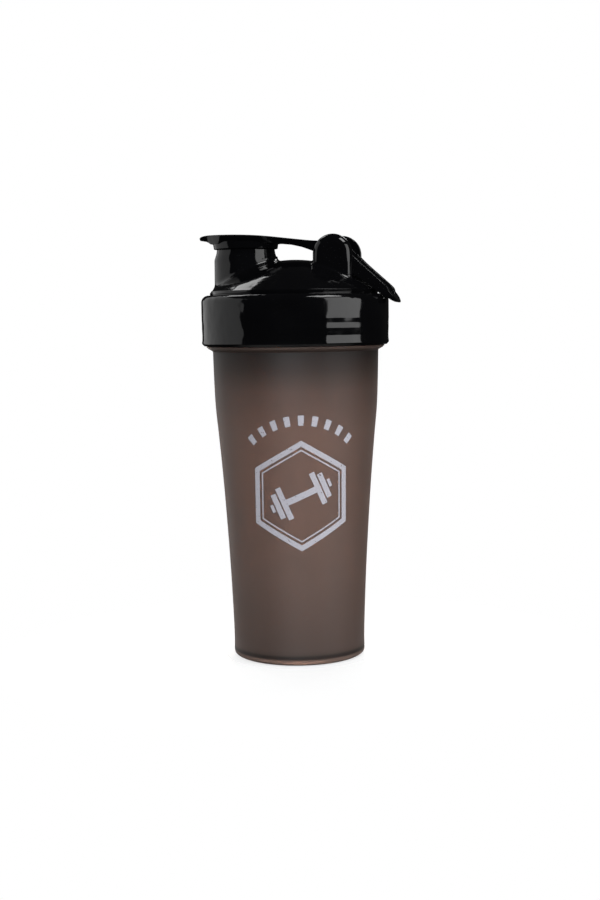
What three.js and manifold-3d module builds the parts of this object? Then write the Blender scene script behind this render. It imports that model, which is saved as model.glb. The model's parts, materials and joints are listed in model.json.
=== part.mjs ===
// A protein shaker bottle: a tapered cup, a screw lid with a spout and two hinge ears, a flip cap
// with a soft plug, a carry loop, the pin that both turn on, a flat lid seal and a wire mixing ball.
// Millimetres, +Z up. The origin is the centre of the cup's foot, the spout is on the -X side and
// the hinge on the +X side, and the hinge pin lies along Y.
import * as THREE from "three";
import { mergeVertices } from "three/addons/utils/BufferGeometryUtils.js";
import Module from "manifold-3d";

const wasm = await Module();
wasm.setup();

// ---- Driving dimensions ----
const TURNED_SIDES = 40; // flats round the large turned shapes
const SMALL_SIDES = 20; // flats round the pin, its bores and the boss

// Cup
const CUP_WALL = 1.6;
const FOOT_RADIUS = 29.2;
const FOOT_GROOVE = { inner: 8, outer: 26.6, depth: 1.5, slope: 1 };
const FLOOR_HEIGHT = 3.6;
const FLANGE = { radius: 45.4, low: 157.4, high: 159.7 };
const NECK_RADIUS = 42.4;
const RIM_HEIGHT = 181;
// The outer wall between the foot and the flange, as [radius, height].
const CUP_SIDE = [
  [33.8, 2.6],
  [33.8, 12],
  [34.55, 33],
  [35.8, 57.5],
  [37.85, 88.5],
  [39.85, 112.5],
  [41.3, 128],
  [41.9, 141],
  [42.3, FLANGE.low],
];

// Lid
const COLLAR = { radius: 47.8, inner: 45.2, low: 160, high: 185.6, corner: 3.6, edge: 1.2 };
const DOME = { radius: 66, top: 203.2, foot: 42.5, wall: 2 };
const DOME_STEP = 1.9; // the upright step between the collar's top and the dome
const SEAL_LAND = 183.2; // the ledge that the seal lies against
const PLUG_RING = { outer: 40.3, inner: 38.9, low: 177 };
const SPOUT = { x: -25.5, low: 184.6, high: 211.2, rLow: 16.3, rHigh: 14.7, boreLow: 13.3, boreHigh: 12.7 };

// Thread: a round-backed rib on the neck and another in the collar, half a lead apart
const THREAD = { lead: 6, rib: 1.5, low: 166.5, cupRadius: 43, lidRadius: 45, cupTurns: 1.25, lidTurns: 0.8 };

// Seal
const SEAL = { inner: 40.7, outer: 44.9, thickness: 1.7, gap: 0.25 };

// Hinge
const HINGE = { x: 22.4, z: 206 };
// An ear's arch has its centre this far below the pin: drop.
const EAR = { radius: 10, inner: 11.5, outer: 16.5, round: 4.2, foot: 187, drop: 0.7 };
const PIN = { radius: 2.5, half: 14.5 };
const PIN_BORE = 2.75;
const SOCKET_END = 14.8;
const HUB_RADIUS = 6;
const KNUCKLE_HALF = 5.9;

// Flip cap
const CAP = { disc: 18.6, arm: 5.6, under: 211.6, tabHalf: 8.5, tip: -48.4 };
const SKIRT = { outer: 16.3, inner: 15.2, low: 209.1 };
const BOSS = { radius: 8, low: 208.2 };
// The arched top, from the thumb tab to the knuckle, as [x, height].
const CAP_TOP = [
  [CAP.tip, 214.8],
  [-46, 215.9],
  [-41, 216.5],
  [-29, 216.5],
  [-16.5, 215.8],
  [-2, 214.1],
  [10, 212.7],
  [HINGE.x, HINGE.z + HUB_RADIUS],
];
// The underside of the arm, from the knuckle to the disc.
const ARM_UNDER = [
  [HINGE.x, HINGE.z - 2],
  [11.5, 207],
  [5, 209.4],
  [-2, 211],
  [-8, CAP.under],
];
// The underside of the tab, from the skirt to the tip.
const TAB_UNDER = [
  [-41.8, CAP.under],
  [-44.5, 213.1],
  [-46.5, 213.5],
  [CAP.tip + 0.4, 213.7],
];

// Soft plug in the flip cap
const PLUG = { radius: 12.25, tip: 11.3, low: 206.2, pocket: 8.3, gap: 0.3 };

// Carry loop, in its own frame: the pin at the origin and the loop along +X
const LOOP = { hang: 38, half: 11.2, limb: 5, length: 40.4, gapEnd: 35.6, endRound: 9.5, gapRound: 5 };
const LOOP_TOP = [
  [0, HUB_RADIUS],
  [8, 5],
  [14.5, 4.2],
  [25, 3.5],
  [32.2, 2.9],
  [33.6, 1.9],
  [37.4, 1],
  [LOOP.length, 0],
];
const LOOP_UNDER = [
  [40, -0.6],
  [38.3, -1.15],
  [32.4, -1.5],
  [29.6, -2.1],
  [27, -1.7],
  [19, -1.95],
  [12, -2.85],
  [7, -4],
  [3, -5.1],
];

// Mixing ball: one wire wound as a spherical coil, with its two ends tucked in
const BALL = { radius: 24, wire: 1, turns: 7, poleDeg: 15, tuck: 5, tilt: [0.42, 0.3, 0], stepsPerTurn: 16 };

// ---- Helpers ----

// A closed three.js geometry as a solid that can be joined and cut.
function solid(geometry) {
  const bare = geometry.clone();
  for (const name of Object.keys(bare.attributes)) {
    if (name !== "position") bare.deleteAttribute(name);
  }
  const merged = mergeVertices(bare, 1e-3);
  const made = new wasm.Manifold(
    new wasm.Mesh({
      numProp: 3,
      vertProperties: merged.attributes.position.array,
      triVerts: new Uint32Array(merged.index.array),
    }),
  );
  return made;
}

// The solid's surface as a three.js geometry.
function surface(made) {
  const mesh = made.getMesh();
  const geometry = new THREE.BufferGeometry();
  geometry.setAttribute("position", new THREE.BufferAttribute(mesh.vertProperties, 3));
  geometry.setIndex(new THREE.BufferAttribute(mesh.triVerts, 1));
  geometry.computeVertexNormals();
  return geometry;
}

const points = (pairs) => pairs.map(([a, b]) => new THREE.Vector2(a, b));

// A smooth curve through pairs, sampled at count + 1 points.
const smooth = (pairs, count) => new THREE.SplineCurve(points(pairs)).getPoints(count);

// Points on an arc about a centre, from one angle to another in degrees.
function arc(x, y, radius, fromDeg, toDeg, steps) {
  return Array.from({ length: steps + 1 }, (_, i) => {
    const angle = THREE.MathUtils.degToRad(fromDeg + ((toDeg - fromDeg) * i) / steps);
    return new THREE.Vector2(x + radius * Math.cos(angle), y + radius * Math.sin(angle));
  });
}

// A profile of [radius, height] points turned about +Z. It runs upwards on the outside.
function turned(profile, sides = TURNED_SIDES) {
  const geometry = new THREE.LatheGeometry(profile, sides);
  geometry.rotateX(Math.PI / 2);
  return geometry;
}

// A turned shape that stands on an axis at x.
const turnedAt = (x, profile, sides) => turned(profile, sides).translate(x, 0, 0);

// An outline in X and Z, given thickness along Y from -half to half.
function sideSlab(outline, half) {
  const geometry = new THREE.ExtrudeGeometry(new THREE.Shape(outline), {
    depth: 2 * half,
    bevelEnabled: false,
  });
  geometry.rotateX(Math.PI / 2);
  return geometry.translate(0, half, 0);
}

// An outline in X and Y, given height from low to high.
function planSlab(outline, low, high) {
  const geometry = new THREE.ExtrudeGeometry(outline, {
    depth: high - low,
    bevelEnabled: false,
    curveSegments: 12,
  });
  return geometry.translate(0, 0, low);
}

// A cylinder along Y, centred on x and z.
function crossCylinder(radius, half, x = 0, z = 0) {
  return new THREE.CylinderGeometry(radius, radius, 2 * half, SMALL_SIDES).translate(x, 0, z);
}

// The dome is a spherical cap: the radius and height of points from its foot to its top.
function domeArc(radius, top, foot, steps) {
  const footDeg = THREE.MathUtils.radToDeg(Math.acos(foot / radius));
  const curve = arc(0, top - radius, radius, footDeg, 90, steps);
  curve[steps].x = 0;
  return curve;
}

// A helix about +Z: it climbs one lead each turn.
class Helix extends THREE.Curve {
  constructor(radius, low, lead, turns) {
    super();
    Object.assign(this, { radius, low, lead, turns });
  }
  getPoint(t, target = new THREE.Vector3()) {
    const angle = 2 * Math.PI * this.turns * t;
    return target.set(
      this.radius * Math.cos(angle),
      this.radius * Math.sin(angle),
      this.low + this.lead * this.turns * t,
    );
  }
}

// A round bar along a curve.
function bar(curve, radius, sides, steps) {
  const section = new THREE.Shape(arc(0, 0, radius, 0, 360 - 360 / sides, sides - 1));
  return new THREE.ExtrudeGeometry(section, { steps, bevelEnabled: false, extrudePath: curve });
}

function threadRib(radius, low, turns) {
  const sides = 6;
  const steps = Math.round(turns * TURNED_SIDES);
  return solid(bar(new Helix(radius, low, THREAD.lead, turns), THREAD.rib, sides, steps));
}

function mesh(name, geometry, material) {
  const made = new THREE.Mesh(geometry, material);
  made.name = name;
  return made;
}

// ---- Pieces ----

// The cup is one moulding: a foot ring, the tapered wall, the flange and the threaded neck. A wide
// groove under the floor leaves the ring and a flat centre pad to stand on.
function cup() {
  const cornerSteps = 3;
  const sideSteps = 10;
  const side = smooth(CUP_SIDE, sideSteps);
  const inside = side
    .slice(1)
    .map((p) => new THREE.Vector2(p.x - CUP_WALL, Math.min(p.y, FLANGE.low)))
    .reverse();
  const footCorner = CUP_SIDE[0][0] - FOOT_RADIUS;
  const floorCorner = 4;
  const insideLow = inside[inside.length - 1];
  const outline = [
    ...points([
      [0, 0],
      [FOOT_GROOVE.inner, 0],
      [FOOT_GROOVE.inner + FOOT_GROOVE.slope, FOOT_GROOVE.depth],
      [FOOT_GROOVE.outer - FOOT_GROOVE.slope, FOOT_GROOVE.depth],
      [FOOT_GROOVE.outer, 0],
    ]),
    ...arc(FOOT_RADIUS, CUP_SIDE[0][1], footCorner, -90, 0, cornerSteps).map(
      (p) => new THREE.Vector2(p.x, CUP_SIDE[0][1] + ((p.y - CUP_SIDE[0][1]) * CUP_SIDE[0][1]) / footCorner),
    ),
    ...side.slice(1),
    ...points([
      [FLANGE.radius, FLANGE.high - 0.6],
      [FLANGE.radius, FLANGE.high],
      [NECK_RADIUS, FLANGE.high],
      [NECK_RADIUS, RIM_HEIGHT - 0.5],
      [NECK_RADIUS - 0.5, RIM_HEIGHT],
      [NECK_RADIUS - CUP_WALL + 0.5, RIM_HEIGHT],
      [NECK_RADIUS - CUP_WALL, RIM_HEIGHT - 0.5],
    ]),
    ...inside,
    ...arc(insideLow.x - floorCorner, FLOOR_HEIGHT + floorCorner, floorCorner, 0, -90, cornerSteps),
    new THREE.Vector2(0, FLOOR_HEIGHT),
  ];
  return surface(solid(turned(outline)).add(threadRib(THREAD.cupRadius, THREAD.low, THREAD.cupTurns)));
}

// One hinge ear: a tombstone with a rounded outer face. side is 1 or -1.
function ear(side) {
  const outline = new THREE.Shape([
    ...points([
      [HINGE.x - EAR.radius, EAR.foot],
      [HINGE.x + EAR.radius, EAR.foot],
    ]),
    ...arc(HINGE.x, HINGE.z - EAR.drop, EAR.radius, 0, 180, 18),
  ]);
  const thickness = EAR.outer - EAR.inner;
  const geometry = new THREE.ExtrudeGeometry(outline, {
    depth: thickness,
    bevelThickness: EAR.round,
    bevelSize: EAR.round,
    bevelOffset: -EAR.round,
    bevelSegments: 4,
  });
  geometry.rotateX(Math.PI / 2).translate(0, EAR.outer - EAR.round, 0);
  if (side < 0) geometry.rotateZ(Math.PI).translate(2 * HINGE.x, 0, 0);
  const inside = new THREE.BoxGeometry(3 * EAR.radius, 2 * EAR.inner, 8 * EAR.radius);
  return solid(geometry).subtract(solid(inside.translate(HINGE.x, 0, HINGE.z)));
}

// The lid is one moulding too: the collar with its rib, the dome, the spout and the two ears.
function lid() {
  const cornerSteps = 3;
  const domeSteps = 6;
  const outside = turned([
    ...points([
      [0, COLLAR.low],
      [COLLAR.radius - COLLAR.edge, COLLAR.low],
      [COLLAR.radius, COLLAR.low + COLLAR.edge],
    ]),
    ...arc(COLLAR.radius - COLLAR.corner, COLLAR.high - COLLAR.corner, COLLAR.corner, 0, 90, cornerSteps),
    ...points([
      [DOME.foot, COLLAR.high],
      [DOME.foot, COLLAR.high + DOME_STEP],
    ]),
    ...domeArc(DOME.radius, DOME.top, DOME.foot - 0.3, domeSteps),
  ]);
  const hollow = turned([
    ...points([
      [0, COLLAR.low - 1],
      [COLLAR.inner, COLLAR.low - 1],
      [COLLAR.inner, SEAL_LAND],
      [PLUG_RING.outer, SEAL_LAND],
      [PLUG_RING.outer, PLUG_RING.low],
      [PLUG_RING.inner, PLUG_RING.low],
    ]),
    ...domeArc(DOME.radius - DOME.wall, DOME.top - DOME.wall, PLUG_RING.inner, domeSteps),
  ]);
  const spout = turnedAt(
    SPOUT.x,
    points([
      [0, SPOUT.low],
      [SPOUT.rLow, SPOUT.low],
      [SPOUT.rHigh + 0.1, SPOUT.high - 0.8],
      [SPOUT.rHigh - 0.6, SPOUT.high],
      [0, SPOUT.high],
    ]),
  );
  const boreFoot = 186;
  const bore = turnedAt(
    SPOUT.x,
    points([
      [0, boreFoot],
      [SPOUT.boreLow, boreFoot],
      [SPOUT.boreHigh, SPOUT.high - 0.6],
      [SPOUT.boreHigh + 0.5, SPOUT.high + 1],
      [0, SPOUT.high + 1],
    ]),
  );
  const sockets = crossCylinder(PIN_BORE, SOCKET_END, HINGE.x, HINGE.z);
  const moulding = solid(outside)
    .add(solid(spout))
    .add(ear(1))
    .add(ear(-1))
    .subtract(solid(hollow))
    .subtract(solid(bore))
    .subtract(solid(sockets))
    .add(threadRib(THREAD.lidRadius, THREAD.low - THREAD.lead / 2, THREAD.lidTurns));
  return surface(moulding);
}

// A flat ring between the cup's rim and the lid's ledge.
function lidSeal() {
  const low = RIM_HEIGHT + SEAL.gap;
  const high = low + SEAL.thickness - SEAL.gap / 2;
  const outline = points([
    [SEAL.inner, low],
    [SEAL.outer, low],
    [SEAL.outer, high],
    [SEAL.inner, high],
    [SEAL.inner, low],
  ]);
  return turned(outline);
}

// The flip cap: an arched disc with a thumb tab, a skirt round the spout, an arm and a knuckle.
function flipCap() {
  const side = [
    ...smooth(CAP_TOP, 18),
    ...points(ARM_UNDER),
    ...points(TAB_UNDER),
  ].reverse();
  const discStart = Math.asin(CAP.arm / CAP.disc) * THREE.MathUtils.RAD2DEG + 18;
  const tabStart = 180 - Math.asin(CAP.tabHalf / CAP.disc) * THREE.MathUtils.RAD2DEG;
  const tabRound = 3;
  const upper = [
    ...points([
      [HINGE.x, CAP.arm],
      [2, CAP.arm],
    ]),
    ...arc(SPOUT.x, 0, CAP.disc, discStart, tabStart, 14),
    ...arc(CAP.tip + tabRound, CAP.tabHalf - tabRound, tabRound, 90, 180, 4),
  ];
  const lower = upper.map((p) => new THREE.Vector2(p.x, -p.y)).reverse();
  const plan = new THREE.Shape([...upper, ...lower]);
  const plate = solid(sideSlab(side, CAP.disc + 1)).intersect(
    solid(planSlab(plan, HINGE.z - 10, HINGE.z + 20)),
  );
  const skirt = turnedAt(
    SPOUT.x,
    points([
      [SKIRT.inner, SKIRT.low],
      [SKIRT.outer, SKIRT.low],
      [SKIRT.outer, CAP.under + 1],
      [SKIRT.inner, CAP.under + 1],
      [SKIRT.inner, SKIRT.low],
    ]),
    TURNED_SIDES,
  );
  const boss = turnedAt(
    SPOUT.x,
    points([
      [0, BOSS.low],
      [BOSS.radius, BOSS.low],
      [BOSS.radius, CAP.under + 1],
      [0, CAP.under + 1],
    ]),
    SMALL_SIDES,
  );
  const knuckle = crossCylinder(HUB_RADIUS, KNUCKLE_HALF, HINGE.x, HINGE.z);
  const bore = crossCylinder(PIN_BORE, EAR.inner, HINGE.x, HINGE.z);
  return surface(
    plate.add(solid(skirt)).add(solid(boss)).add(solid(knuckle)).subtract(solid(bore)),
  );
}

// The soft plug: a cup that clips over the cap's boss and closes the spout's bore.
function spoutPlug() {
  const high = CAP.under - PLUG.gap;
  const pocketFloor = BOSS.low - PLUG.gap;
  const outline = points([
    [0, PLUG.low],
    [PLUG.tip - 1.2, PLUG.low],
    [PLUG.tip, PLUG.low + 0.7],
    [PLUG.radius, PLUG.low + 2.4],
    [PLUG.radius, PLUG.low + 3.4],
    [PLUG.radius - 0.4, high],
    [PLUG.pocket, high],
    [PLUG.pocket, pocketFloor],
    [0, pocketFloor],
  ]);
  return turned(outline);
}

const hingePin = () => new THREE.CylinderGeometry(PIN.radius, PIN.radius, 2 * PIN.half, SMALL_SIDES);

// The carry loop: two hubs on the pin, two limbs and a rounded end bar.
function carryLoop() {
  const side = [...points(LOOP_UNDER).reverse(), ...smooth(LOOP_TOP, 12).reverse()];
  const halfOutline = (end, half, round, back) => [
    ...arc(end - round, half - round, round, 0, 90, 8),
    new THREE.Vector2(back, half),
  ];
  const closed = (upper) => [...upper.map((p) => new THREE.Vector2(p.x, -p.y)).reverse(), ...upper];
  const outer = new THREE.Shape(closed(halfOutline(LOOP.length, LOOP.half, LOOP.endRound, -10)));
  const gap = new THREE.Shape(closed(halfOutline(LOOP.gapEnd, LOOP.half - LOOP.limb, LOOP.gapRound, -12)));
  const hub = crossCylinder(HUB_RADIUS, LOOP.half);
  const bore = crossCylinder(PIN_BORE, EAR.inner);
  const made = solid(sideSlab(side, LOOP.half))
    .add(solid(hub))
    .intersect(solid(planSlab(outer, -20, 20)))
    .subtract(solid(planSlab(gap, -21, 21)))
    .subtract(solid(bore));
  return surface(made);
}

// The ball's wire climbs from pole to pole as it goes round, and dips inside at both ends.
class BallWire extends THREE.Curve {
  getPoint(t, target = new THREE.Vector3()) {
    const polar = THREE.MathUtils.degToRad(BALL.poleDeg + (180 - 2 * BALL.poleDeg) * t);
    const tuckShare = 0.06;
    const dip = Math.max(0, 1 - Math.min(t, 1 - t) / tuckShare);
    const radius = BALL.radius - BALL.tuck * dip * dip;
    return target.setFromSphericalCoords(radius, polar, 2 * Math.PI * BALL.turns * t);
  }
}

const mixingBall = () => bar(new BallWire(), BALL.wire, 6, BALL.turns * BALL.stepsPerTurn);

// ---- Materials ----
const smokePlastic = new THREE.MeshStandardMaterial({ color: 0x4a3c37, roughness: 0.55, metalness: 0 });
const blackPlastic = new THREE.MeshStandardMaterial({ color: 0x0b0b0c, roughness: 0.12, metalness: 0 });
const silicone = new THREE.MeshStandardMaterial({ color: 0x2a2a2c, roughness: 0.7, metalness: 0 });
const wireSteel = new THREE.MeshStandardMaterial({ color: 0xc8cacc, roughness: 0.22, metalness: 1 });

// ---- Assembly ----
const lidGroup = new THREE.Group();
lidGroup.add(mesh("lid", lid(), blackPlastic));
lidGroup.add(mesh("lid_seal", lidSeal(), silicone));

const capGroup = new THREE.Group();
capGroup.add(mesh("flip_cap", flipCap(), blackPlastic));
const plug = mesh("spout_plug", spoutPlug(), silicone);
plug.position.x = SPOUT.x;
capGroup.add(plug);

const hingeGroup = new THREE.Group();
hingeGroup.position.set(HINGE.x, 0, HINGE.z);
hingeGroup.add(mesh("hinge_pin", hingePin(), blackPlastic));
const loop = mesh("carry_loop", carryLoop(), blackPlastic);
loop.rotation.y = THREE.MathUtils.degToRad(LOOP.hang);
hingeGroup.add(loop);

const ball = mesh("mixing_ball", mixingBall(), wireSteel);
const ballRest = 0.4; // the ball's clearance above the floor of the cup
ball.position.z = FLOOR_HEIGHT + BALL.radius + BALL.wire + ballRest;
ball.rotation.set(...BALL.tilt);

const shaker = new THREE.Group();
shaker.add(mesh("cup", cup(), smokePlastic), ball, lidGroup, capGroup, hingeGroup);

export default shaker;
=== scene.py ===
# %% [markdown]
# # A protein shaker bottle
# The bottle is a frosted smoke brown cup with a glossy black lid. A flip cap closes the lid's spout,
# a carry loop hangs from the same hinge, and a loose wire ball lies in the cup. The CAD model gives
# every piece its size, its place and its joint.

# %% Load the frame
import json
import math

import bmesh
import bpy
from mathutils import Matrix, Vector


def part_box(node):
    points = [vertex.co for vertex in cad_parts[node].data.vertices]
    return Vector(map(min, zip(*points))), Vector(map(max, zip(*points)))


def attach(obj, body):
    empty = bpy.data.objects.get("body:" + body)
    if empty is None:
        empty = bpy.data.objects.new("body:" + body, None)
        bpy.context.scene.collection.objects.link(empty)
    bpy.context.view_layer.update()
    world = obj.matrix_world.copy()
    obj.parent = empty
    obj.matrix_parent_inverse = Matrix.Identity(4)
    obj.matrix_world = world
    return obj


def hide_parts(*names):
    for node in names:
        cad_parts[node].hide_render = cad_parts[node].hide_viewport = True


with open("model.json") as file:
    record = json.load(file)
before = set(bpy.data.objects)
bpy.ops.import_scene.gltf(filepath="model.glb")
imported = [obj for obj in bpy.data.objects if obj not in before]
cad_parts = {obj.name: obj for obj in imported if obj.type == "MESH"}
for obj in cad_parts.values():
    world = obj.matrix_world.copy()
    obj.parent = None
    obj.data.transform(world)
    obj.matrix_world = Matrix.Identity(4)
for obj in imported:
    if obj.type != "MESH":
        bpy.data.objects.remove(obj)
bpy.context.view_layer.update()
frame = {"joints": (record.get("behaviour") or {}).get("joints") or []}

# %% [markdown]
# Millimetres are the maker's own unit, so the pieces are drawn in millimetres and made metres at the
# end. The few sizes that everything hangs on are read from the CAD pieces.

# %% Sizes read from the frame
MM = 0.001
joints = {joint["name"]: joint for joint in frame["joints"]}
hinge_x, _, hinge_z = (v / MM for v in joints["flip_cap_hinge"]["pos_m"])
_, cup_high = (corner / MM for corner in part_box("cup"))
lid_low, lid_high = (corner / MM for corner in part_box("lid"))
plug_low, plug_high = (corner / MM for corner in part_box("spout_plug"))
cap_low, _ = (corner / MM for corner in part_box("flip_cap"))
collar_radius = lid_high.x
rim_height = cup_high.z
flange_radius = cup_high.x
spout_x = (plug_low.x + plug_high.x) / 2
print(f"collar radius {collar_radius:.1f}, rim at {rim_height:.1f}, hinge at {hinge_x:.1f}, {hinge_z:.1f}")

# %% [markdown]
# ## The camera
# The camera stands three quarters of a metre away, with its eye level with the lid's collar, so the
# foot's curve shows and the collar's edges are nearly straight. The bottle is turned a little, hinge to
# the right, and the camera is rolled by less than a degree.

# %% Place the camera
CAMERA_TURN = math.radians(13.1)
CAMERA_DISTANCE = 0.758
EYE_HEIGHT = 0.1753
AIM = Vector((0.00154, 0, 0.1059))
CAMERA_ROLL = math.radians(0.78)
LENS = 59.07

camera_data = bpy.data.cameras.new("camera")
camera_data.lens = LENS
camera_data.sensor_width = 36
camera = bpy.data.objects.new("camera", camera_data)
bpy.context.collection.objects.link(camera)
camera.location = (
    CAMERA_DISTANCE * math.sin(CAMERA_TURN),
    -CAMERA_DISTANCE * math.cos(CAMERA_TURN),
    EYE_HEIGHT,
)
to_right = Vector((math.cos(CAMERA_TURN), math.sin(CAMERA_TURN), 0))
aim_point = to_right * AIM.x + Vector((0, 0, AIM.z))
gaze = aim_point - camera.location
camera.rotation_mode = "QUATERNION"
roll = Matrix.Rotation(-CAMERA_ROLL, 3, "Z").to_quaternion()
camera.rotation_quaternion = gaze.to_track_quat("-Z", "Y") @ roll
bpy.context.scene.camera = camera
print(f"camera {gaze.length:.3f} m from its aim")

# %% [markdown]
# ## The studio
# The floor is a pale sheet that fades into the white behind it. Gloss black plastic shows nothing but
# what it reflects, so the lid is lit by soft boxes with dark room between them: a wide wall on the
# left, a large box and a small high one on the right, and two small high ones behind. The frosted cup
# is lit by two panels behind it, which shine through, and by two fills in front. These four, and one
# strip above, are hidden from reflections, so that the lid stays dark between its soft boxes.

# %% A small class for shader sums, and one method that makes any node
class Wire:
    """One output in a node tree. Arithmetic on it adds Math nodes."""

    def __init__(self, finish, socket):
        self.finish = finish
        self.socket = socket

    def sum(self, operation, first, second):
        return self.finish.node("ShaderNodeMath", {"operation": operation}, {0: first, 1: second})

    def __add__(self, other):
        return self.sum("ADD", self, other)

    def __mul__(self, other):
        return self.sum("MULTIPLY", self, other)


class Finish:
    """The node tree of a material or of the world."""

    def __init__(self, holder):
        self.holder = holder
        holder.use_nodes = True
        self.tree = holder.node_tree
        self.tree.nodes.clear()

    def node(self, kind, settings=None, sockets=None, output=0):
        made = self.tree.nodes.new(kind)
        for name, value in (settings or {}).items():
            if name == "stops":
                self.set_stops(made.color_ramp, value)
            else:
                setattr(made, name, value)
        for name, value in (sockets or {}).items():
            if isinstance(value, Wire):
                self.tree.links.new(value.socket, made.inputs[name])
            else:
                made.inputs[name].default_value = value
        return Wire(self, made.outputs[output]) if made.outputs else None

    def set_stops(self, ramp, stops):
        while len(ramp.elements) < len(stops):
            ramp.elements.new(0.5)
        for element, (position, colour) in zip(ramp.elements, stops):
            element.position = position
            element.color = (*colour, 1)

    def noise(self, scale, detail=2.0, roughness=0.5, stretch=(1, 1, 1)):
        place = self.node("ShaderNodeTexCoord", output="Object")
        stretched = self.node("ShaderNodeMapping", sockets={"Vector": place, "Scale": stretch})
        sockets = {"Vector": stretched, "Scale": scale, "Detail": detail, "Roughness": roughness}
        return self.node("ShaderNodeTexNoise", sockets=sockets)

    def between(self, factor, first, second):
        """A colour between two, by a factor from 0 to 1."""
        factor_socket, first_socket, second_socket, result = 0, 6, 7, 2
        sockets = {factor_socket: factor, first_socket: first, second_socket: second}
        return self.node("ShaderNodeMix", {"data_type": "RGBA"}, sockets, result)

    def level(self, value, low, high, low_out=0.0, high_out=1.0):
        sockets = {"Value": value, "From Min": low, "From Max": high, "To Min": low_out, "To Max": high_out}
        return self.node("ShaderNodeMapRange", sockets=sockets)

    def bump(self, height, distance, strength):
        sockets = {"Height": height, "Distance": distance, "Strength": strength}
        return self.node("ShaderNodeBump", sockets=sockets)

    def principled(self, sockets):
        surface = self.node("ShaderNodeBsdfPrincipled", sockets=sockets)
        self.node("ShaderNodeOutputMaterial", sockets={"Surface": surface})
        return self.holder


def new_finish(name):
    return Finish(bpy.data.materials.new(name))


def grey(value):
    return (value, value, value, 1)


# %% White to the camera, a dim room to everything else
world = bpy.data.worlds.new("studio")
bpy.context.scene.world = world
bpy.context.scene.view_settings.view_transform = "Standard"
ROOM_LIGHT = 0.012
room = Finish(world)
dim_room = room.node("ShaderNodeBackground", sockets={"Color": grey(1), "Strength": ROOM_LIGHT})
white_backdrop = room.node("ShaderNodeBackground", sockets={"Color": grey(1), "Strength": 1.0})
camera_ray = room.node("ShaderNodeLightPath", output="Is Camera Ray")
mixed = room.node("ShaderNodeMixShader", sockets={0: camera_ray, 1: dim_room, 2: white_backdrop})
room.node("ShaderNodeOutputWorld", sockets={"Surface": mixed})
print("world made")


# %% A pale floor that fades out at its rim
def make_floor():
    radius = 0.9
    bm = bmesh.new()
    bmesh.ops.create_circle(bm, cap_ends=True, cap_tris=True, segments=64, radius=radius)
    mesh = bpy.data.meshes.new("floor")
    bm.to_mesh(mesh)
    bm.free()
    floor = bpy.data.objects.new("floor", mesh)
    bpy.context.collection.objects.link(floor)
    finish = new_finish("pale_floor")
    place = finish.node("ShaderNodeTexCoord", output="Object")
    distance = finish.node("ShaderNodeVectorMath", {"operation": "LENGTH"}, {0: place}, output="Value")
    shown = finish.level(distance, 0.03, 0.16, 0.28, 0.0)
    sockets = {"Base Color": grey(0.93), "Roughness": 0.6, "Specular IOR Level": 0.1, "Alpha": shown}
    mesh.materials.append(finish.principled(sockets))


make_floor()


# %% The soft boxes
def soft_box(
    name, bearing, height, distance, size, power, aim_height=0.12, colour=(1, 1, 1), in_reflections=True
):
    """bearing is in degrees round from the camera, to the right. size is (width, height) in metres."""
    data = bpy.data.lights.new(name, "AREA")
    data.shape = "RECTANGLE"
    data.size, data.size_y = size
    data.energy = power
    data.color = colour
    light = bpy.data.objects.new(name, data)
    bpy.context.collection.objects.link(light)
    turn = CAMERA_TURN + math.radians(bearing)
    light.location = (distance * math.sin(turn), -distance * math.cos(turn), height)
    look = Vector((0, 0, aim_height)) - light.location
    light.rotation_mode = "QUATERNION"
    light.rotation_quaternion = look.to_track_quat("-Z", "Y")
    light.visible_camera = False
    light.visible_glossy = in_reflections


soft_box("left_wall", -109, 0.35, 0.80, (1.5, 1.1), 3.0, aim_height=0.35)
soft_box("right_box", 60, 0.53, 0.90, (0.70, 0.8), 4.0, aim_height=0.53)
soft_box("front_strip", 0, 1.1, 0.45, (1.2, 0.3), 4, in_reflections=False)
soft_box("right_high_box", 62, 0.98, 0.45, (0.45, 0.3), 2.6, aim_height=0.2)
soft_box("back_left_box", -147, 0.92, 0.70, (0.32, 0.28), 0.9)
soft_box("back_right_box", 158, 0.66, 0.80, (0.22, 0.24), 0.5)
soft_box("front_fill", -8, 0.5, 1.5, (1.2, 1.2), 22, colour=(0.93, 0.97, 1), in_reflections=False)
soft_box("right_fill", 55, 0.15, 1.2, (0.8, 1), 4.5, colour=(0.93, 0.97, 1), in_reflections=False)
soft_box("back_panel", 180, 0.25, 1.1, (1.6, 1.2), 30, in_reflections=False)
soft_box("back_glow", 180, 0.11, 0.5, (0.16, 0.3), 6.5, colour=(1, 0.8, 0.68), in_reflections=False)
print("studio lit")

# %% [markdown]
# ## Shared tools
# Most of the bottle is turned on an axis, so a line of corners, some of them rounded, is spun into a
# piece. A bmesh holds the work, and one function makes it an object on its CAD body.


# %% Lines: corners with a radius, and a smooth curve through points
def rounded(corners, steps=5):
    """Points along a closed or open line of (x, z, radius) corners, with each corner rounded."""
    points = []
    for index, (x, z, radius) in enumerate(corners):
        here = Vector((x, z))
        if radius == 0:
            points.append(here)
            continue
        before = (Vector(corners[index - 1][:2]) - here).normalized()
        after = (Vector(corners[(index + 1) % len(corners)][:2]) - here).normalized()
        half = before.angle(after) / 2
        centre = here + (before + after).normalized() * radius / math.sin(half)
        first = here + before * radius / math.tan(half) - centre
        last = here + after * radius / math.tan(half) - centre
        for step in range(steps + 1):
            share = step / steps
            mixed = first.lerp(last, share).normalized() * radius
            points.append(centre + mixed)
    return points


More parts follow.
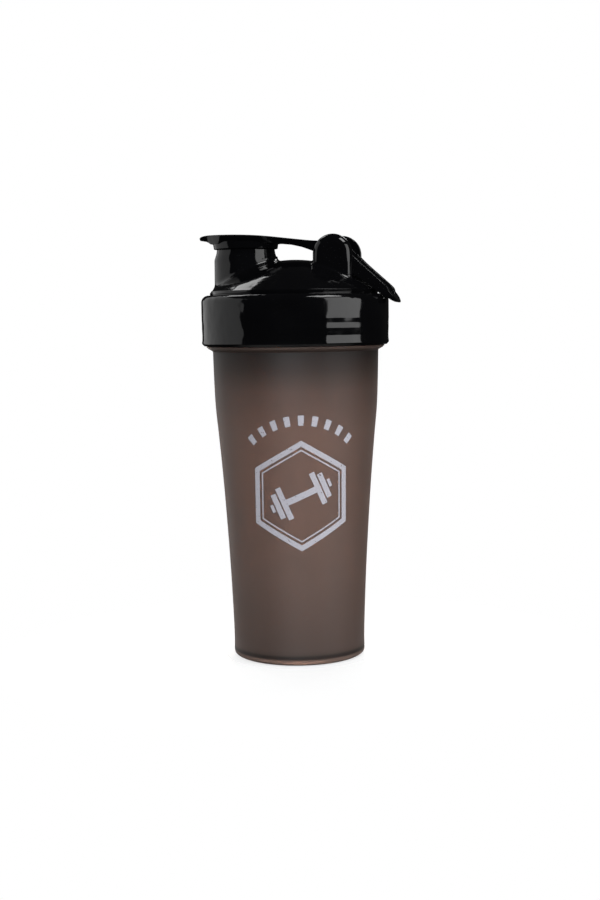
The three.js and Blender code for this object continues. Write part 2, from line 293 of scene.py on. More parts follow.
def smooth_line(points, steps):
    """A Catmull-Rom curve through points, with so many steps between each pair."""
    knots = [Vector(point) for point in points]
    knots = [2 * knots[0] - knots[1], *knots, 2 * knots[-1] - knots[-2]]
    line = []
    for before, start, end, after in zip(knots, knots[1:], knots[2:], knots[3:]):
        for step in range(steps):
            t = step / steps
            bend = (2 * before - 5 * start + 4 * end - after) * t * t
            bend += (3 * start - before - 3 * end + after) * t * t * t
            line.append((2 * start + (end - before) * t + bend) / 2)
    return [*line, knots[-2]]


def height_on(line, x):
    """The height of a line of (x, z) points at x. The line runs one way along x."""
    ordered = sorted(line, key=lambda point: point[0])
    if x <= ordered[0][0]:
        return ordered[0][1]
    for low, high in zip(ordered, ordered[1:]):
        if x <= high[0]:
            share = (x - low[0]) / max(high[0] - low[0], 1e-9)
            return low[1] + share * (high[1] - low[1])
    return ordered[-1][1]


# %% Turning, rounding and finishing a bmesh
def turned(profile, steps=180, x=0.0, closed=False):
    """A profile of (radius, height) points spun about an upright axis at x."""
    bm = bmesh.new()
    verts = [bm.verts.new((radius, 0, height)) for radius, height in profile]
    edges = [bm.edges.new(pair) for pair in zip(verts, verts[1:])]
    if closed:
        edges.append(bm.edges.new((verts[-1], verts[0])))
    around = {"cent": (0, 0, 0), "axis": (0, 0, 1), "angle": math.tau, "steps": steps}
    bmesh.ops.spin(bm, geom=[*verts, *edges], use_merge=True, **around)
    bmesh.ops.remove_doubles(bm, verts=bm.verts, dist=1e-4)
    bmesh.ops.recalc_face_normals(bm, faces=bm.faces)
    bmesh.ops.translate(bm, verts=bm.verts, vec=(x, 0, 0))
    return bm


def sharp_edges(bm, degrees=40):
    limit = math.radians(degrees)
    return [edge for edge in bm.edges if edge.is_manifold and edge.calc_face_angle(0) > limit]


def round_edges(bm, edges, width, segments=4):
    bmesh.ops.bevel(
        bm, geom=edges, offset=width, offset_type="OFFSET", segments=segments,
        profile=0.5, affect="EDGES", material=-1, clamp_overlap=True,
    )


def hold_flats(bm, corners=9, inset=0.3):
    """Insets each large flat face, so that smooth shading leaves it flat."""
    flats = [face for face in bm.faces if len(face.verts) > corners]
    if flats:
        bmesh.ops.inset_individual(bm, faces=flats, thickness=inset, use_even_offset=True)


def joined(bm, *others):
    """Adds the other bmeshes' shells to the first."""
    for other in others:
        mesh = bpy.data.meshes.new("spare")
        other.to_mesh(mesh)
        other.free()
        bm.from_mesh(mesh)
        bpy.data.meshes.remove(mesh)
    return bm


def piece(name, bm, material, body, stands_for=()):
    """The bmesh, drawn in millimetres, as a finished object in metres that rides on a body."""
    bmesh.ops.scale(bm, verts=bm.verts, vec=(MM, MM, MM))
    mesh = bpy.data.meshes.new(name)
    bm.to_mesh(mesh)
    bm.free()
    mesh.shade_smooth()
    mesh.set_sharp_from_angle(angle=math.radians(38))
    mesh.materials.append(material)
    made = bpy.data.objects.new(name, mesh)
    bpy.context.collection.objects.link(made)
    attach(made, body)
    if stands_for:
        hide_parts(*stands_for)
    print(f"{name}: {len(mesh.polygons)} faces on {body}")


# %% [markdown]
# ## The finishes
# The lid is polished polypropylene. Its skin isn't quite even: the plastic shrinks over the thick
# places as it cools, which bends the edges of the reflections. Handling leaves faint hairlines, seen
# only as a change of gloss.


# %% Gloss black plastic
def black_plastic():
    finish = new_finish("gloss_black_plastic")
    sink = finish.noise(75, detail=2, stretch=(1, 1, 0.8))
    haze = finish.noise(60, detail=3)
    hairlines = finish.noise(420, detail=2, stretch=(1, 1, 0.04))
    gloss = finish.level(haze * 0.7 + hairlines * 0.3, 0.35, 0.7, 0.06, 0.13)
    sockets = {
        "Base Color": finish.between(haze, (0.0010, 0.0010, 0.0012, 1), (0.0020, 0.0020, 0.0024, 1)),
        "Roughness": gloss,
        "IOR": 1.49,
        "Normal": finish.bump(sink, 0.0013, 0.6),
    }
    return finish.principled(sockets)


BLACK = black_plastic()


# %% [markdown]
# The cup is the same plastic with a little smoke brown dye, moulded in a grained tool, so that light
# goes through it but no shape does. Rough transmission gives that look: the far wall and whatever
# stands behind are spread into a soft glow. The grain is a fine bump.


# %% Frosted smoke plastic
# Each pair is a height in mm and the share of the colour there. The light and shade are painted on: the black
# lid darkens the cup's top with painted shade, the cup is darker towards the foot, the thick floor's corner
# shows as a painted dark line above the heel, and the very foot is a painted highlight, a little brighter
# than the rest.
PAINTED_LIGHT_AND_SHADE_BY_HEIGHT = [
    (0, 1.1), (2.8, 1), (3.6, 0.12), (4.8, 0.12), (6, 0.55), (8, 0.68), (16, 0.76), (45, 1),
    (118, 1), (138, 0.62), (148, 0.3), (157, 0.12), (158, 0.8),
]
PAINTED_LIGHT_RAMP_TOP = 160
SMOKE_COLOUR = Vector((0.2, 0.135, 0.112))


def smoke_plastic():
    finish = new_finish("frosted_smoke_plastic")
    cloud = finish.noise(35, detail=3)
    grain = finish.noise(2600, detail=1)
    place = finish.node("ShaderNodeTexCoord", output="Object")
    height = finish.node("ShaderNodeSeparateXYZ", sockets={"Vector": place}, output="Z")
    # The share at each height paints the shade under the lid, the dark line above the heel and the highlight
    # at the foot onto the smoke colour.
    up_the_cup = finish.level(height, 0, PAINTED_LIGHT_RAMP_TOP * MM)
    stops = [(z / PAINTED_LIGHT_RAMP_TOP, SMOKE_COLOUR * share) for z, share in PAINTED_LIGHT_AND_SHADE_BY_HEIGHT]
    smoke_with_painted_shade = finish.node("ShaderNodeValToRGB", {"stops": stops}, {"Fac": up_the_cup})
    mottle = finish.between(cloud, grey(0.92), grey(1))
    sockets = {
        "Base Color": finish.node("ShaderNodeVectorMath", {"operation": "MULTIPLY"}, {0: smoke_with_painted_shade, 1: mottle}),
        "Roughness": finish.level(cloud, 0.3, 0.7, 0.44, 0.52),
        "IOR": 1.49,
        "Specular IOR Level": 0.15,
        "Transmission Weight": 0.55,
        "Normal": finish.bump(grain, 0.00004, 0.6),
    }
    return finish.principled(sockets)


SMOKE = smoke_plastic()


# %% Silicone, wire and ink
def soft_silicone():
    finish = new_finish("soft_silicone")
    dust = finish.noise(900, detail=2)
    sockets = {
        "Base Color": finish.between(dust, (0.018, 0.018, 0.02, 1), (0.03, 0.03, 0.032, 1)),
        "Roughness": finish.level(dust, 0.3, 0.7, 0.55, 0.7),
        "Normal": finish.bump(dust, 0.00003, 0.5),
    }
    return finish.principled(sockets)


def drawn_wire():
    finish = new_finish("drawn_stainless_wire")
    streaks = finish.noise(700, detail=2)
    sockets = {
        "Base Color": finish.between(streaks, (0.6, 0.6, 0.61, 1), (0.75, 0.75, 0.76, 1)),
        "Metallic": 1.0,
        "Roughness": finish.level(streaks, 0.3, 0.7, 0.16, 0.3),
        "Normal": finish.bump(streaks, 0.00002, 0.5),
    }
    return finish.principled(sockets)


def screen_ink():
    finish = new_finish("screen_print_ink")
    weave = finish.noise(1500, detail=2)
    pinholes = finish.noise(700, detail=4, roughness=0.7)
    sockets = {
        "Base Color": finish.between(weave, (0.36, 0.345, 0.38, 1), (0.45, 0.435, 0.475, 1)),
        "Roughness": finish.level(weave, 0.3, 0.7, 0.45, 0.6),
        "Alpha": finish.level(pinholes, 0.33, 0.37, 0.0, 1.0),
    }
    return finish.principled(sockets)


SILICONE = soft_silicone()
WIRE = drawn_wire()
INK = screen_ink()
print("finishes made")

# %% [markdown]
# ## The cup
# The cup tapers from the collar to the foot, with a gentle waist where a hand holds it. It is turned
# in one go, outside and inside together, so the wall has its real thickness and the frosted plastic
# absorbs light as a wall does.

# %% Turn the cup
WALL = 1.6
NECK_RADIUS = 42.4
FLANGE_LOW = 157.4
FLANGE_HIGH = 159.7
FLOOR_HEIGHT = 3.6
FOOT_RADIUS = 29.2
GROOVE_INNER = 8
GROOVE_OUTER = 26.6
GROOVE_DEPTH = 1.5
GROOVE_SLOPE = 1
CUP_SIDE = [
    (33.8, 2.6), (33.8, 12), (34.55, 33), (35.8, 57.5), (37.85, 88.5),
    (39.85, 112.5), (41.3, 128), (41.9, 141), (42.3, FLANGE_LOW - 0.3),
]


def make_cup():
    side = smooth_line(CUP_SIDE, 9)
    under = rounded([
        (0, 0, 0), (GROOVE_INNER, 0, 0.3), (GROOVE_INNER + GROOVE_SLOPE, GROOVE_DEPTH, 0.5),
        (GROOVE_OUTER - GROOVE_SLOPE, GROOVE_DEPTH, 0.6), (GROOVE_OUTER, 0, 0.4), (FOOT_RADIUS, 0, 0),
    ])[:-1]
    heel_out, heel_up = CUP_SIDE[0][0] - FOOT_RADIUS, CUP_SIDE[0][1]
    quarter = [math.radians(9 * k) for k in range(10)]
    heel = [(FOOT_RADIUS + heel_out * math.sin(a), heel_up * (1 - math.cos(a))) for a in quarter]
    top = rounded([
        (42.3, FLANGE_LOW - 0.3, 0), (42.6, FLANGE_LOW + 0.05, 0.2), (44.9, FLANGE_HIGH - 0.95, 0.15),
        (44.75, FLANGE_HIGH - 0.7, 0.1), (flange_radius, FLANGE_HIGH - 0.5, 0.12),
        (flange_radius, FLANGE_HIGH, 0.15), (NECK_RADIUS, FLANGE_HIGH, 0.3),
        (NECK_RADIUS, rim_height, 0.5), (NECK_RADIUS - WALL, rim_height, 0.5),
        (NECK_RADIUS - WALL, FLANGE_LOW, 0),
    ])
    inside = [(point.x - WALL, point.y) for point in reversed(side[6:-1])]
    foot_inner = inside[-1][0]
    floor_line = rounded([(foot_inner, 12, 0), (foot_inner - 0.1, FLOOR_HEIGHT, 5), (0, FLOOR_HEIGHT, 0)])
    return turned([*under, *heel, *side[1:-1], *top, *inside, *floor_line[1:]], steps=192)


piece("cup_shell", make_cup(), SMOKE, "cup", ["cup"])


# %% [markdown]
# The thread is a rib that climbs as it goes round. bmesh's spin takes a shift for each step, so the
# same tool that turns the cup winds the rib. Both ends are run out to nothing, as on a real neck.


# %% Wind the threads
LEAD = 6


def thread_rib(radius, low, turns, depth):
    """A rounded rib wound on a radius. It stands out by depth, or in by a negative depth."""
    steps_per_turn = 96
    steps = round(turns * steps_per_turn)
    bm = bmesh.new()
    section = [(-0.4, -1.4), (0.75, -0.65), (1, 0), (0.75, 0.65), (-0.4, 1.4)]
    verts = [bm.verts.new((radius + depth * out, 0, low + up)) for out, up in section]
    start = bm.faces.new(verts)
    around = {"cent": (0, 0, 0), "axis": (0, 0, 1), "angle": math.tau * turns, "steps": steps}
    bmesh.ops.spin(bm, geom=[start], dvec=(0, 0, LEAD / steps_per_turn), **around)
    run_out = math.radians(25)
    for vert in bm.verts:
        climbed = (vert.co.z - low) / LEAD * math.tau
        share = max(0, min(1, climbed / run_out, (math.tau * turns - climbed) / run_out))
        flat = Vector((vert.co.x, vert.co.y, 0))
        wanted = radius - 0.3 * depth + (flat.length - radius + 0.3 * depth) * share
        flat = flat.normalized() * wanted
        vert.co.x, vert.co.y = flat.x, flat.y
    bmesh.ops.recalc_face_normals(bm, faces=bm.faces)
    return bm


piece("cup_thread", thread_rib(NECK_RADIUS, 166.5, 1.25, 2.1), SMOKE, "cup")

# %% [markdown]
# The print on the front is a plain dumbbell in a hexagon, under an arc of marks. It is drawn flat, as
# patches with a distance along the cup's girth and a height, and each patch is wrapped onto the wall.
# The patches are fine enough to follow the curve, and stand off the wall by a layer of ink.

# %% Print the emblem
PRINT_HEIGHT = 86.5
PRINT_BEARING = math.radians(-74)
INK_LIFT = 0.05
INK_THICKNESS = 0.04
DUMBBELL_TILT = math.radians(24)
MARK_COUNT = 9
MARK_STEP = math.radians(10.5)
MARK_SHARE = 0.42
cup_wall_line = [(z, radius) for radius, z in smooth_line(CUP_SIDE, 9)]


def wrapped(bm):
    """Vertices drawn in X and Y, in mm from the print's middle, are wrapped onto the cup's wall."""
    for vert in bm.verts:
        across, height, off = vert.co.x, PRINT_HEIGHT + vert.co.y, vert.co.z
        radius = height_on(cup_wall_line, height)
        angle = PRINT_BEARING + across / radius
        radius += INK_LIFT + off
        vert.co = (radius * math.cos(angle), radius * math.sin(angle), height)
    return bm


def patch(place, across, along):
    """A grid of faces: place gives the X and Y of each share across and along, from 0 to 1."""
    bm = bmesh.new()
    bmesh.ops.create_grid(bm, x_segments=across, y_segments=along, size=0.5)
    for vert in bm.verts:
        vert.co.x, vert.co.y = place(vert.co.x + 0.5, vert.co.y + 0.5)
    return bm


def plate(x, y, width, height, turn):
    """A bar about (x, y), with all of it turned about the print's middle."""
    def place(s, t):
        corner = Vector((x + (s - 0.5) * width, y + (t - 0.5) * height))
        corner.rotate(Matrix.Rotation(turn, 2))
        return corner
    return patch(place, max(2, round(width)), max(2, round(height)))


def arc_mark(angle, width, inner, outer):
    """A mark that points at the print's middle, wider at its outer end."""
    def place(s, t):
        reach = inner + (outer - inner) * t
        turn = angle + (s - 0.5) * width
        return (reach * math.sin(turn), reach * math.cos(turn))
    return patch(place, 4, 8)


def hexagon_side(index, inner, outer):
    def place(s, t):
        turns = [math.radians(60 * (index + step)) for step in (0, 1)]
        ends = [Vector((math.sin(turn), math.cos(turn))) for turn in turns]
        return ends[0].lerp(ends[1], s) * (inner + (outer - inner) * t)
    return patch(place, 28, 3)


def make_print():
    parts = []
    for inner, outer in (24.6, 27.6), (22.4, 23.2):
        parts += [hexagon_side(index, inner, outer) for index in range(6)]
    parts.append(plate(0, 0, 16, 3.2, DUMBBELL_TILT))
    for side in (-1, 1):
        for reach, width, height in (9.2, 2.8, 17), (12.7, 2.8, 13), (15.6, 1.6, 4):
            parts.append(plate(side * reach, 0, width, height, DUMBBELL_TILT))
    for count in range(MARK_COUNT):
        angle = (count - (MARK_COUNT - 1) / 2) * MARK_STEP
        parts.append(arc_mark(angle, MARK_STEP * MARK_SHARE, 35, 40))
    bm = joined(*parts)
    for face in bm.faces:
        if face.normal.z < 0:
            face.normal_flip()
    grown = bmesh.ops.extrude_face_region(bm, geom=bm.faces[:])["geom"]
    raised = [part for part in grown if isinstance(part, bmesh.types.BMVert)]
    bmesh.ops.translate(bm, verts=raised, vec=(0, 0, INK_THICKNESS))
    wrapped(bm)
    bmesh.ops.recalc_face_normals(bm, faces=bm.faces)
    return bm


piece("cup_print", make_print(), INK, "cup")

# %% [markdown]
# ## The lid
# The collar, the dome, the spout and the ears are one moulding. The collar and the dome are turned
# together. The spout's bore goes through the dome, so the dome's inner and outer skins are opened
# there, and the two rims are bridged. The spout's own wall covers the seam.

# %% Turn the collar and the dome
COLLAR_INNER = 45.2
COLLAR_TOP = 185.6
DOME_RADIUS = 66
DOME_TOP = 203.2
DOME_WALL = 2
DOME_FOOT = 42.5
SEAL_LAND = 183.2
PLUG_RING = {"inner": 38.9, "outer": 40.3, "low": 177}
SPOUT_WALL_MIDDLE = 14.6


def dome_height(x, y, inset=0.0):
    return DOME_TOP - DOME_RADIUS + math.sqrt((DOME_RADIUS - inset) ** 2 - x * x - y * y)


def dome_line(foot, inset, steps=40):
    return [(foot * k / steps, dome_height(foot * k / steps, 0, inset)) for k in range(steps + 1)]


def make_collar():
    low = lid_low.z
    ring_inner, ring_outer, ring_low = PLUG_RING["inner"], PLUG_RING["outer"], PLUG_RING["low"]
    outer_dome = dome_line(DOME_FOOT - 0.5, 0)
    inner_dome = dome_line(ring_inner - 0.2, DOME_WALL)
    outside = rounded([
        (DOME_FOOT - 0.5, outer_dome[-1][1], 0), (DOME_FOOT + 0.2, outer_dome[-1][1] - 0.5, 0.2),
        (DOME_FOOT - 0.35, COLLAR_TOP - 0.05, 0.2), (collar_radius, COLLAR_TOP, 3.5),
        (collar_radius - 0.03, 173.6, 4), (collar_radius - 0.13, 171.4, 3), (collar_radius - 0.13, 168.8, 3),
        (collar_radius - 0.28, 165.3, 3), (collar_radius - 0.22, 163, 2),
        (collar_radius, low + 1.3, 0.5), (collar_radius - 1.1, low, 0.35),
        (COLLAR_INNER, low, 0.4), (COLLAR_INNER, SEAL_LAND, 0.3), (ring_outer, SEAL_LAND, 0.3),
        (ring_outer, ring_low, 0.5), (ring_inner, ring_low, 0.5), (ring_inner, inner_dome[-1][1], 0),
    ], steps=7)
    bm = turned([*outer_dome, *outside[1:-1], *reversed(inner_dome)], steps=192)
    over_bore = [
        face for face in bm.faces
        if face.calc_center_median().z > ring_low + 8
        and math.hypot(face.calc_center_median().x - spout_x, face.calc_center_median().y) < SPOUT_WALL_MIDDLE
    ]
    bmesh.ops.delete(bm, geom=over_bore, context="FACES")
    rims = [edge for edge in bm.edges if edge.is_boundary]
    bmesh.ops.bridge_loops(bm, edges=rims)
    bmesh.ops.recalc_face_normals(bm, faces=bm.faces)
    return bm


piece("lid_collar_and_dome", make_collar(), BLACK, "lid", ["lid"])
piece("lid_thread", thread_rib(COLLAR_INNER, 163.5, 0.8, -1.7), BLACK, "lid")


# %% [markdown]
# The spout and the ears stand on the dome, and each meets it in a small fillet. A fillet is a short
# section swept round the foot of the piece. It is drawn with its heights counted from the dome, and
# each of its vertices is then lifted onto the dome below it.


# %% Spout, with its lip and its foot
COUNTED_FROM_DOME = -100


def settle_on_dome(bm):
    """Vertices drawn low, near COUNTED_FROM_DOME, are lifted to stand on the dome."""
    for vert in bm.verts:
        if vert.co.z < 0:
            vert.co.z += dome_height(vert.co.x, vert.co.y) - COUNTED_FROM_DOME


def fillet_line(size, steps=6):
    """The hollow curve of a fillet as (distance out, height), from its top to its toe."""
    angles = [math.pi / 2 * k / steps for k in range(steps + 1)]
    return [(size * (1 - math.cos(a)), size * (1 - math.sin(a))) for a in angles]


def make_spout():
    high, foot_radius, lip_radius = lid_high.z - 4.8, 16.25, 14.75
    bore_foot, bore_lip = 13.2, 12.8
    fillet = [(foot_radius + out, COUNTED_FROM_DOME + up) for out, up in reversed(fillet_line(2.6))]
    wall = [(foot_radius - 0.1, 203.5), (lip_radius + 0.3, high - 3.5)]
    lip = rounded([(0, 0, 0), (lip_radius, high, 0.9), (bore_lip, high, 0.7), (bore_foot, 200, 0)])[1:-1]
    bore = [(bore_foot - 0.05, 203.5), (bore_foot, COUNTED_FROM_DOME - DOME_WALL)]
    toe = [(foot_radius + 2.6, COUNTED_FROM_DOME - 0.4)]
    lip_start = [(lip_radius, high - 1.2)]
    profile = [*fillet, *wall, *lip_start, *lip, *bore, *toe]
    bm = turned(profile, x=spout_x, closed=True, steps=144)
    settle_on_dome(bm)
    return bm


piece("lid_spout", make_spout(), BLACK, "lid")


# %% Ears, mirrored across the pin
EAR_RADIUS = 10
EAR_DROP = 0.7
EAR_INNER = 11.5
EAR_OUTER = 16.5
EAR_ROUND = 4.2
EAR_FOOT = 190


def make_ear(side):
    bm = bmesh.new()
    steps = 40
    arch = [
        (hinge_x + EAR_RADIUS * math.cos(angle), hinge_z - EAR_DROP + EAR_RADIUS * math.sin(angle))
        for angle in (math.pi * k / steps for k in range(steps + 1))
    ]
    outline = [(arch[0][0], EAR_FOOT), *arch, (arch[-1][0], EAR_FOOT)]
    inner_face = bm.faces.new([bm.verts.new((x, EAR_INNER, z)) for x, z in outline])
    grown = bmesh.ops.extrude_face_region(bm, geom=[inner_face])["geom"]
    outer = [part for part in grown if isinstance(part, bmesh.types.BMVert)]
    bmesh.ops.translate(bm, verts=outer, vec=(0, EAR_OUTER - EAR_INNER, 0))
    bmesh.ops.recalc_face_normals(bm, faces=bm.faces)
    corners = sharp_edges(bm, 60)
    outer_rim = [edge for edge in corners if min(v.co.y for v in edge.verts) > EAR_OUTER - 0.1]
    round_edges(bm, outer_rim, EAR_ROUND, 9)
    inner_rim = [edge for edge in sharp_edges(bm, 60) if max(v.co.y for v in edge.verts) < EAR_INNER + 0.1]
    round_edges(bm, inner_rim, 0.5, 3)
    hold_flats(bm, corners=20, inset=0.4)
    if side < 0:
        bmesh.ops.mirror(bm, geom=[*bm.verts, *bm.edges, *bm.faces], axis="Y", merge_dist=0.0)
        bmesh.ops.delete(bm, geom=[v for v in bm.verts if v.co.y > 0], context="VERTS")
        bmesh.ops.recalc_face_normals(bm, faces=bm.faces)
    return bm


def make_ear_fillet(side, size=1.8):
    """A fillet section swept round the ear's foot: a spin at each corner, a straight run between."""
    corner = 2.4
    half_x, half_y = EAR_RADIUS, (EAR_OUTER - EAR_INNER) / 2
    middle_y = (EAR_INNER + EAR_OUTER) / 2
    bm = bmesh.new()
    run_x, run_y = 2 * (half_x - corner), 2 * (half_y - corner)
    section = [(out, COUNTED_FROM_DOME + up) for out, up in fillet_line(size)]
    sunk = COUNTED_FROM_DOME - 0.6
    section += [(size, sunk), (-0.8, sunk), (-0.8, COUNTED_FROM_DOME + size)]
    centre = Vector((hinge_x + half_x - corner, middle_y + half_y - corner, 0))
    verts = [bm.verts.new((centre.x + corner + out, centre.y, height)) for out, height in section]
    edges = [bm.edges.new(pair) for pair in zip(verts, [*verts[1:], verts[0]])]
    front = [*verts, *edges]
    for direction, run in ((-1, 0), run_x), ((0, -1), run_y), ((1, 0), run_x), ((0, 1), run_y):
        turn = {"cent": centre, "axis": (0, 0, 1), "angle": math.pi / 2, "steps": 6}
        front = bmesh.ops.spin(bm, geom=front, **turn)["geom_last"]
        pieces_of_run = max(1, round(run / 2))
        step = Vector((*direction, 0)) * run / pieces_of_run
        for _ in range(pieces_of_run):
            lines = [part for part in front if isinstance(part, bmesh.types.BMEdge)]
            front = bmesh.ops.extrude_edge_only(bm, edges=lines)["geom"]
            moved = [part for part in front if isinstance(part, bmesh.types.BMVert)]
            bmesh.ops.translate(bm, verts=moved, vec=step)
            front = [part for part in front if not isinstance(part, bmesh.types.BMFace)]
        centre += Vector((*direction, 0)) * run
    bmesh.ops.remove_doubles(bm, verts=bm.verts, dist=1e-3)
    settle_on_dome(bm)
    if side < 0:
        bmesh.ops.scale(bm, verts=bm.verts, vec=(1, -1, 1))
    bmesh.ops.recalc_face_normals(bm, faces=bm.faces)
    return bm


for side, side_name in (1, "far"), (-1, "near"):
    ear = joined(make_ear(side), make_ear_fillet(side))
    piece(f"lid_ear_{side_name}", ear, BLACK, "lid")


# %% [markdown]
# ## Seal, plug and pin
# These are turned pieces that the closed bottle hides. They show when the cap is open or the lid is
# off, so they have their real shapes and rounded edges.


# %% Seal, plug and pin
SEAL_INNER = 40.7
SEAL_OUTER = 44.9
PIN_RADIUS = 2.5
PIN_HALF = 14.5
PIN_BORE = 2.75


def make_seal():
    low, high = (corner.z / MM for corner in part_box("lid_seal"))
    return turned(rounded([
        (SEAL_INNER, low, 0.35), (SEAL_OUTER, low, 0.35), (SEAL_OUTER, high, 0.35), (SEAL_INNER, high, 0.35),
    ]), closed=True)


def make_plug():
    low, high = plug_low.z, plug_high.z
    body, tip, pocket, pocket_floor = 12.25, 11.3, 8.3, 207.9
    return turned([
        *rounded([
            (0, low, 0), (tip - 1, low, 0.6), (tip, low + 0.8, 0.5), (body, low + 2.5, 0.5),
            (body, low + 3.4, 0.5), (body - 0.4, high, 0.3), (pocket, high, 0.3), (pocket, pocket_floor, 0),
        ])[:-1],
        (pocket, pocket_floor), (0, pocket_floor),
    ], x=spout_x, steps=96)


def cross_bar(radius, half, rounding, bore=0.0, centre_y=0.0):
    """A rod or a bored hub along the hinge line."""
    corners = [(radius, -half, rounding), (radius, half, rounding)]
    if bore:
        corners += [(bore, half, 0), (bore, -half, 0)]
        bm = turned(rounded(corners), steps=64, closed=True)
    else:
        line = rounded([(0, -half, 0), *corners, (0, half, 0)])
        bm = turned(line, steps=64)
    bmesh.ops.rotate(bm, verts=bm.verts, cent=(0, 0, 0), matrix=Matrix.Rotation(math.pi / 2, 3, "X"))
    bmesh.ops.translate(bm, verts=bm.verts, vec=(hinge_x, centre_y, hinge_z))
    return bm


piece("seal_ring", make_seal(), SILICONE, "seal", ["lid_seal"])
piece("plug", make_plug(), SILICONE, "flip_cap", ["spout_plug"])
piece("pin", cross_bar(PIN_RADIUS, PIN_HALF, 0.4), BLACK, "lid", ["hinge_pin"])

# %% [markdown]
# ## The flip cap
# The cap is a thin arched plate: a thumb tab, a disc over the spout and a narrow arm back to the
# hinge. A grid is squeezed to that outline, with its rows following the plate's width, then given a
# top and an underside. Rounding the rim with a bevel leaves a clean highlight along it.

# %% The cap's outline and heights
CAP_DISC = 18.6
CAP_ARM = 5.6
CAP_UNDER = 211.6
TAB_HALF = 9.5
RIM_DRAFT = 2.2
HUB_RADIUS = 6
KNUCKLE_HALF = 5.9
CAP_TOP = smooth_line([
    (cap_low.x, 214.8), (-46, 215.9), (-41, 216.5), (-29, 216.5), (-16.5, 215.8), (-2, 214.1), (10, 212.7),
    (hinge_x, hinge_z + HUB_RADIUS),
], 8)
CAP_UNDERSIDE = [
    (cap_low.x, 213.7), (-46.5, 213.5), (-44.5, 213.1), (-43, 212.4), (-41.8, CAP_UNDER), (-8, CAP_UNDER),
    (-2, 211), (5, 209.4), (11.5, 207), (hinge_x, hinge_z - 2),
]


def cap_half_width(x):
    """Half the plate's width at x: tab, disc and arm, with hollow curves where they meet."""
    tip_round = 4
    from_tip = x - cap_low.x
    tab = TAB_HALF
    if from_tip < tip_round:
        tab = TAB_HALF - tip_round + math.sqrt(max(0, tip_round**2 - (tip_round - from_tip) ** 2))
    off_axis = x - spout_x
    disc = math.sqrt(max(0, CAP_DISC**2 - off_axis**2))
    beside = CAP_ARM if off_axis > 0 else tab
    softness = 2.5
    widest = max(disc, beside)
    return widest + softness * math.log(1 + math.exp(-abs(disc - beside) / softness)) - softness * 0.12


def make_cap_plate():
    along, across = 120, 24
    bm = bmesh.new()
    bmesh.ops.create_grid(bm, x_segments=along, y_segments=across, size=0.5)
    length = hinge_x - cap_low.x
    for vert in bm.verts:
        # Rows crowd towards the tip, where the outline turns most.
        share = (vert.co.x + 0.5) ** 1.35
        x = cap_low.x + length * share
        vert.co.y *= 2 * cap_half_width(x)
        vert.co.x = x
    for face in bm.faces:
        if face.normal.z > 0:
            face.normal_flip()
    top = bmesh.ops.extrude_face_region(bm, geom=bm.faces[:])["geom"]
    top_verts = {part for part in top if isinstance(part, bmesh.types.BMVert)}
    for vert in bm.verts:
        crown = 1.1 * (vert.co.y / CAP_DISC) ** 2
        if vert in top_verts:
            vert.co.z = height_on(CAP_TOP, vert.co.x) - crown
        else:
            vert.co.z = height_on(CAP_UNDERSIDE, vert.co.x)
            vert.co.y *= 1 - RIM_DRAFT / max(RIM_DRAFT * 4, cap_half_width(vert.co.x))
    bmesh.ops.recalc_face_normals(bm, faces=bm.faces)
    rim = [
        edge for edge in sharp_edges(bm, 50)
        if (edge.verts[0] in top_verts) == (edge.verts[1] in top_verts)
    ]
    round_edges(bm, rim, 0.7, 6)
    return bm


flip_cap = joined(make_cap_plate(), cross_bar(HUB_RADIUS, KNUCKLE_HALF, 0.5, bore=PIN_BORE))
piece("cap_plate", flip_cap, BLACK, "flip_cap", ["flip_cap"])
SKIRT_LOW = 209.1
skirt_line = rounded([
    (15.2, SKIRT_LOW, 0.3), (16.3, SKIRT_LOW, 0.3), (16.9, CAP_UNDER + 1, 0), (15.2, CAP_UNDER + 1, 0),
])
piece("cap_skirt", turned(skirt_line, x=spout_x, closed=True, steps=144), BLACK, "flip_cap")
boss_line = rounded([(0, 208.2, 0), (8, 208.2, 0.4), (8, CAP_UNDER + 1, 0), (0, CAP_UNDER + 1, 0)])
piece("cap_boss", turned(boss_line, x=spout_x, steps=64), BLACK, "flip_cap")

# %% [markdown]
# ## The carry loop
# The loop is a flat band bent into a U. Its section is carried along one limb, spun round the first
# corner, across the end, round the second corner and back. Its thickness is then set by how far each
# vertex is from the pin, and the whole is turned down to where it rests on the collar.

# %% Bend the loop
LOOP_HANG = math.radians(38)
LOOP_LENGTH = 40.4
LOOP_HALF = 11.2
LIMB = 5
LOOP_CORNER = 9.5
LOOP_TOP = smooth_line([
    (0, HUB_RADIUS), (8, 5), (14.5, 4.2), (25, 3.5), (32.2, 2.9), (33.6, 1.9), (37.4, 1), (LOOP_LENGTH, 0),
], 6)
LOOP_UNDER = smooth_line([
    (0, -5.6), (3, -5.1), (7, -4), (12, -2.85), (19, -1.95), (27, -1.7), (29.6, -2.1), (32.4, -1.5),
    (38.3, -1.2), (LOOP_LENGTH, -0.5),
], 6)


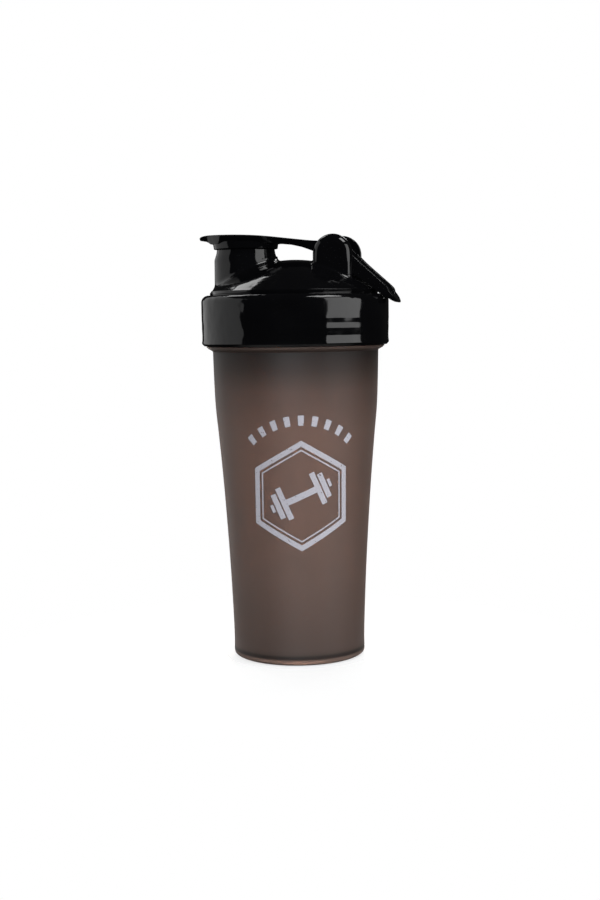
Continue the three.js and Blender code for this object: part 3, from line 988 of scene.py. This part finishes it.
def make_loop_band():
    bm = bmesh.new()
    inner = LOOP_HALF - LIMB
    section = (-LOOP_HALF, -1), (-inner, -1), (-inner, 1), (-LOOP_HALF, 1)
    verts = [bm.verts.new((0, y, z)) for y, z in section]
    front = [bm.faces.new(verts)]
    corner_x, corner_y = LOOP_LENGTH - LOOP_CORNER, LOOP_HALF - LOOP_CORNER

    def run(front, vec, steps):
        for _ in range(steps):
            grown = bmesh.ops.extrude_face_region(bm, geom=front)["geom"]
            bmesh.ops.delete(bm, geom=front, context="FACES_ONLY")
            moved = [part for part in grown if isinstance(part, bmesh.types.BMVert)]
            bmesh.ops.translate(bm, verts=moved, vec=Vector(vec) / steps)
            front = [part for part in grown if isinstance(part, bmesh.types.BMFace)]
        return front

    def bend(front, centre):
        turn = {"cent": centre, "axis": (0, 0, 1), "angle": math.pi / 2, "steps": 14}
        last = bmesh.ops.spin(bm, geom=front, **turn)["geom_last"]
        bmesh.ops.delete(bm, geom=front, context="FACES_ONLY")
        return [part for part in last if isinstance(part, bmesh.types.BMFace)]

    front = run(front, (corner_x, 0, 0), 16)
    front = bend(front, (corner_x, -corner_y, 0))
    front = run(front, (0, 2 * corner_y, 0), 3)
    front = bend(front, (corner_x, corner_y, 0))
    run(front, (-corner_x, 0, 0), 16)
    bmesh.ops.remove_doubles(bm, verts=bm.verts, dist=1e-4)
    for vert in bm.verts:
        line = LOOP_TOP if vert.co.z > 0 else LOOP_UNDER
        vert.co.z = height_on(line, vert.co.x)
    bmesh.ops.recalc_face_normals(bm, faces=bm.faces)
    round_edges(bm, sharp_edges(bm, 55), 1.0, 4)
    bmesh.ops.rotate(bm, verts=bm.verts, cent=(0, 0, 0), matrix=Matrix.Rotation(LOOP_HANG, 3, "Y"))
    bmesh.ops.translate(bm, verts=bm.verts, vec=(hinge_x, 0, hinge_z))
    return bm


hub_half = LIMB / 2
hub_middle = LOOP_HALF - hub_half
carry_loop = joined(
    make_loop_band(),
    cross_bar(HUB_RADIUS, hub_half, 0.6, bore=PIN_BORE, centre_y=hub_middle),
    cross_bar(HUB_RADIUS, hub_half, 0.6, bore=PIN_BORE, centre_y=-hub_middle),
)
piece("loop_band", carry_loop, BLACK, "carry_loop", ["carry_loop"])

# %% [markdown]
# ## The mixing ball
# One wire is wound from pole to pole of a sphere, and its two ends are tucked in. Its route is worked
# out from the angle, so a curve with a round bevel is the plainest way to make it.

# %% Wind the ball
BALL = {"radius": 24, "wire": 1, "turns": 7, "pole": math.radians(15), "tuck": 5, "tilt": (0.42, 0.3)}
BALL_LIFT = 0.4
BALL_POINTS_PER_TURN = 40


def make_ball():
    ball_low, ball_high = (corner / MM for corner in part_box("mixing_ball"))
    count = BALL["turns"] * BALL_POINTS_PER_TURN
    curve = bpy.data.curves.new("ball_wire", "CURVE")
    curve.dimensions = "3D"
    curve.bevel_depth = BALL["wire"] * MM
    curve.bevel_resolution = 3
    curve.use_fill_caps = True
    spline = curve.splines.new("POLY")
    spline.points.add(count)
    tilt = Matrix.Rotation(BALL["tilt"][0], 3, "X") @ Matrix.Rotation(BALL["tilt"][1], 3, "Y")
    centre = Vector((0, 0, FLOOR_HEIGHT + BALL["radius"] + BALL["wire"] + BALL_LIFT))
    for index, point in enumerate(spline.points):
        t = index / count
        polar = BALL["pole"] + (math.pi - 2 * BALL["pole"]) * t
        around = math.tau * BALL["turns"] * t
        dip = max(0, 1 - min(t, 1 - t) / 0.06)
        radius = BALL["radius"] - BALL["tuck"] * dip * dip
        # The polar angle is measured from +Y, and the azimuth from +Z towards +X.
        off_pole = math.sin(polar)
        route = Vector((off_pole * math.sin(around), math.cos(polar), off_pole * math.cos(around)))
        point.co = (*((tilt @ (route * radius) + centre) * MM), 1)
    made = bpy.data.objects.new("ball_wire", curve)
    bpy.context.collection.objects.link(made)
    curve.materials.append(WIRE)
    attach(made, "mixing_ball")
    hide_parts("mixing_ball")
    print(f"ball of {BALL['turns']} turns, CAD ball {ball_low} to {ball_high}")


make_ball()
